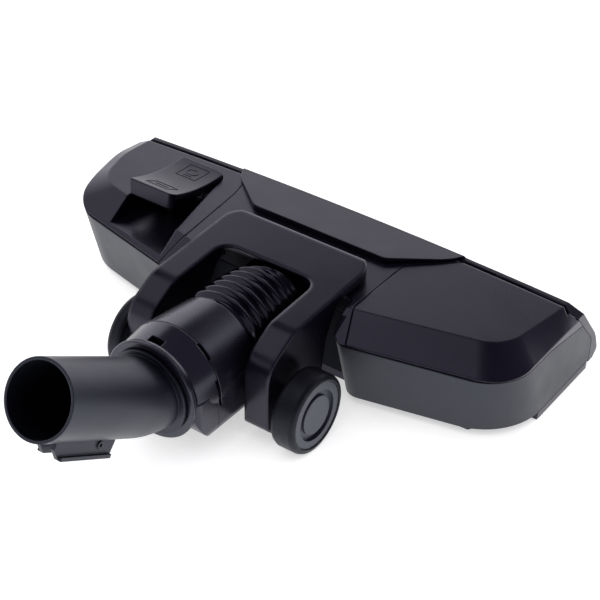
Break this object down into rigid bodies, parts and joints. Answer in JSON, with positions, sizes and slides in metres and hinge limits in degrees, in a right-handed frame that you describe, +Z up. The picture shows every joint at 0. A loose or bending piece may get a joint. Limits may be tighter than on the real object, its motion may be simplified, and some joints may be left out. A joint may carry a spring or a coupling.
{
  "type": "vacuum cleaner floor head",
  "caption": "Wide black floor head for a vacuum cleaner, with a wheeled fork, corrugated hose, swivel elbow for the wand and a rocker pedal that lowers the brush strips.",
  "frame": {"origin": "point on the sole's flat underside, on the middle plane of fork and tube", "axes": "+X along the head's width to its right end, +Y to the front edge, +Z up from the floor"},
  "size_m": [0.2787, 0.2783, 0.0926],
  "materials": {
    "body_plastic": "fine matt texture, near black",
    "skirt_plastic": "satin charcoal",
    "tube_plastic": "satin charcoal",
    "pedal_plastic": "satin charcoal",
    "hose_plastic": "glossy black",
    "sole_plastic": "smooth black",
    "inner_plastic": "plain black",
    "hub_plastic": "satin grey",
    "tyre_rubber": "soft dark rubber",
    "soft_rubber": "black rubber",
    "bristle": "black nylon bristles",
    "lint_fabric": "short dark red pile",
    "steel": "plain steel"
  },
  "bodies": {
    "head": {"skirt": "skirt_plastic", "centre_housing": "body_plastic", "left_cover": "body_plastic", "right_cover": "body_plastic", "front_cover": "body_plastic", "sole_plate": "sole_plastic", "left_lint_strip": "lint_fabric", "right_lint_strip": "lint_fabric", "sole_screws": "steel", "inlet_duct": "inner_plastic", "pedal_pin": "steel", "left_fork_pin": "steel", "right_fork_pin": "steel", "return_springs": "steel"},
    "brush": {"brush_carrier": "inner_plastic", "front_bristles": "bristle", "rear_bristles": "bristle", "rubber_lip": "soft_rubber"},
    "pedal": {"pedal": "pedal_plastic"},
    "fork": {"fork": "body_plastic", "left_axle": "steel", "right_axle": "steel", "hose": "hose_plastic"},
    "right_wheel": {"right_tyre": "tyre_rubber", "right_hub": "hub_plastic"},
    "left_wheel": {"left_tyre": "tyre_rubber", "left_hub": "hub_plastic"},
    "neck": {"neck_front_shell": "body_plastic", "neck_rear_shell": "body_plastic", "neck_bezel": "body_plastic"},
    "elbow": {"elbow_tube": "tube_plastic", "elbow_seal": "soft_rubber"}
  },
  "joints": [
    {"name": "fork_pivot", "type": "hinge", "parent": "head", "child": "fork", "pos_m": [0, -0.004, 0.0435], "axis": [1, 0, 0], "range_deg": [-5, 6]},
    {"name": "neck_tilt", "type": "hinge", "parent": "fork", "child": "neck", "pos_m": [0, -0.0652, 0.0207], "axis": [-1, 0, 0], "range_deg": [0, 50], "deforming": ["hose"]},
    {"name": "elbow_swivel", "type": "hinge", "parent": "neck", "child": "elbow", "pos_m": [0, -0.095, 0.0366], "axis": [0, 1, 0], "range_deg": [-90, 90]},
    {"name": "right_wheel_spin", "type": "hinge", "parent": "fork", "child": "right_wheel", "pos_m": [0.0555, -0.0652, 0.0207], "axis": [1, 0, 0], "continuous": true},
    {"name": "left_wheel_spin", "type": "hinge", "parent": "fork", "child": "left_wheel", "pos_m": [-0.0555, -0.0652, 0.0207], "axis": [1, 0, 0], "continuous": true},
    {"name": "pedal_rock", "type": "hinge", "parent": "head", "child": "pedal", "pos_m": [-0.08725, 0.0207, 0.0485], "axis": [1, 0, 0], "range_deg": [0, 20]},
    {"name": "brush_slide", "type": "slide", "parent": "head", "child": "brush", "axis": [0, 0, -1], "range_m": [0, 0.004], "deforming": ["return_springs"]}
  ],
  "couplings": [
    {"joint": "pedal_rock", "follows": "brush_slide", "rad_per_m": 87.179}
  ]
}
